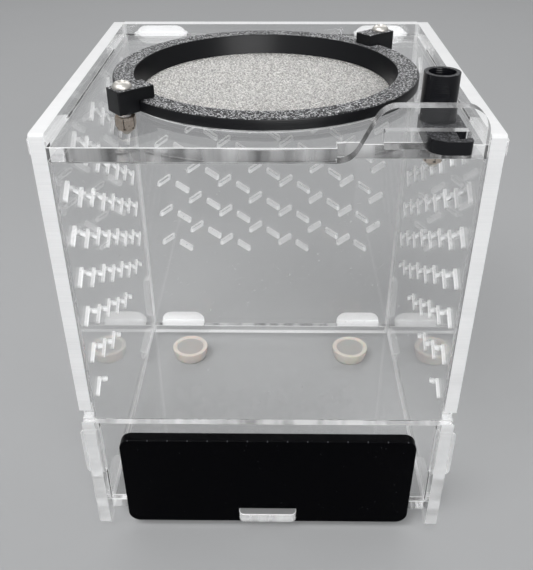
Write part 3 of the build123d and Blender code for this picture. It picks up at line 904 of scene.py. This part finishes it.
# painted shade darkens the hexagon's six blunt corners, whose normals lie between those of its flats
facing = add_node(tree, "SeparateXYZ", {0: coords.outputs["Normal"]})
turn = add_node(tree, "Math", {0: facing.outputs["Y"], 1: facing.outputs["X"]}, operation="ARCTAN2")
turn = add_node(tree, "Math", {0: turn.outputs[0], 1: 6.0}, operation="MULTIPLY")
turn = add_node(tree, "Math", {0: turn.outputs[0]}, operation="COSINE")
painted_corner_shade = add_node(tree, "MapRange", {0: turn.outputs[0], 1: -1.0, 2: -0.3, 3: 0.9, 4: 0.0})
level = add_node(tree, "Math", {0: facing.outputs["Z"]}, operation="ABSOLUTE")
level = add_node(tree, "Math", {0: level.outputs[0], 1: 0.2}, operation="LESS_THAN")
painted_corner_shade = add_node(tree, "Math", {0: painted_corner_shade.outputs[0], 1: level.outputs[0]}, operation="MULTIPLY")
colour = add_node(
    tree, "Mix", {0: painted_corner_shade.outputs[0], 6: plating.outputs[2], 7: linear("#3A322B")}, data_type="RGBA"
)
rough = add_node(tree, "MapRange", {0: scuff.outputs[0], 1: 0.3, 2: 0.7, 3: 0.25, 4: 0.45})
shader = add_node(
    tree,
    "BsdfPrincipled",
    {"Base Color": colour.outputs[2], "Roughness": rough.outputs[0], "Metallic": 1.0},
)
add_node(tree, "OutputMaterial", {"Surface": shader.outputs[0]})

for index, (x, y) in enumerate(nut_places):
    corner = nut_across / math.sqrt(3)
    nut = turned(f"lock_nut_{index + 1}", (x, y), [(corner, nut_top), (corner, nut_top - nut_hex)], 6)
    pick(nut, "EDGE", lambda middle, edge: abs(edge.verts[0].co.z - edge.verts[1].co.z) > MM)
    bpy.ops.mesh.bevel(offset=nut_corner_ease * MM, offset_type="OFFSET", segments=1, affect="EDGES")
    close_up(nut, nut_steel)
    keep = turned("keep", (x, y), [(radius, nut_top + rise) for radius, rise in chamfer_outline], 64)
    close_up(keep, nut_steel)
    combine(nut, keep, "INTERSECT")
    collar = turned("collar", (x, y), [(radius, nut_top + rise) for radius, rise in collar_outline], 48)
    close_up(collar, nut_steel)
    combine(nut, collar, "UNION")
    bore = turned("bore", (x, y), [(nut_bore, nut_top + 1), (nut_bore, nut_top - nut_high - 1)], 32)
    close_up(bore, nut_steel)
    combine(nut, bore, "DIFFERENCE")
    bpy.ops.object.mode_set(mode="EDIT")
    close_up(nut, nut_steel, flat_above=2)
    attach(nut, "box")
    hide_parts("lock_nuts")


# Door latch: a printed bar with a rounded nose that passes through the
# door's slot and hooks behind its edge, and a hollow post to turn it by. It
# swivels on its screw, whose head lies at the bottom of the post's bore.
latch_low, latch_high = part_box("door_latch")
bar_low = latch_low.z / MM
bar_thick = 3.5
bar_high = bar_low + bar_thick
bar_left, bar_right = latch_low.x / MM, latch_high.x / MM
bar_front, bar_back = latch_low.y / MM, latch_high.y / MM
nose_rounds = [
    ((bar_left, bar_front), 5.0),
    ((bar_right, bar_front), 1.5),
    ((bar_left, bar_back), 4.0),
    ((bar_right, bar_back), 4.0),
]
throat_round, throat_side, throat_ahead = 16.0, 2.9, 8.5
post_radius, post_top = 4.7, 159.0
post_bore, post_floor = 3.5, 146.1
pin_hole = 1.56
latch_ease = 0.25
latch_plastic = printed_plastic("printed_latch_plastic", wall="#0A0B10", shine=0.2, glint_colour="#6F7074")
latch = begin(bpy.ops.mesh.primitive_cube_add, "printed_door_latch", size=MM)
bar_size = (bar_right - bar_left, bar_back - bar_front, bar_high - bar_low)
bpy.ops.transform.resize(value=bar_size, center_override=(0, 0, 0))
bpy.ops.transform.translate(
    value=((bar_left + bar_right) / 2 * MM, (bar_front + bar_back) / 2 * MM, (bar_low + bar_high) / 2 * MM)
)
for (x, y), radius in nose_rounds:
    pick(
        latch,
        "EDGE",
        lambda middle, edge: (middle.xy - Vector((x, y)) * MM).length < 0.1 * MM
        and abs(edge.verts[0].co.z - edge.verts[1].co.z) > MM,
    )
    bpy.ops.mesh.bevel(offset=radius * MM, offset_type="OFFSET", segments=14, affect="EDGES")
close_up(latch, latch_plastic)
throat = begin(
    bpy.ops.mesh.primitive_circle_add,
    "throat",
    vertices=160,
    radius=throat_round * MM,
    fill_type="NGON",
    location=(pivot[0] * MM, pivot[1] * MM, (bar_low - 1) * MM),
)
bpy.ops.mesh.bisect(plane_co=((pivot[0] + throat_side) * MM, 0, 0), plane_no=(1, 0, 0), clear_inner=True)
bpy.ops.mesh.select_all(action="SELECT")
bpy.ops.mesh.bisect(plane_co=(0, (pivot[1] - throat_ahead) * MM, 0), plane_no=(0, 1, 0), clear_outer=True)
bpy.ops.mesh.select_all(action="SELECT")
bpy.ops.mesh.extrude_region_move(TRANSFORM_OT_translate={"value": (0, 0, (bar_high - bar_low + 2) * MM)})
close_up(throat, latch_plastic)
combine(latch, throat, "DIFFERENCE")
post = turned("post", pivot, [(post_radius, bar_low), (post_radius, post_top)], 96)
close_up(post, latch_plastic)
combine(latch, post, "UNION")
bore = turned("bore", pivot, [(post_bore, post_floor), (post_bore, post_top + 1)], 96)
close_up(bore, latch_plastic)
combine(latch, bore, "DIFFERENCE")
pin = turned("pin", pivot, [(pin_hole, bar_low - 1), (pin_hole, post_floor + 0.9)], 32)
close_up(pin, latch_plastic)
combine(latch, pin, "DIFFERENCE")
modify(latch, "BEVEL", width=latch_ease * MM, segments=2, limit_method="ANGLE", angle_limit=sharp)
bpy.ops.object.mode_set(mode="EDIT")
close_up(latch, latch_plastic, flat_above=10)
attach(latch, "latch")
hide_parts("door_latch")

bpy.context.view_layer.update()
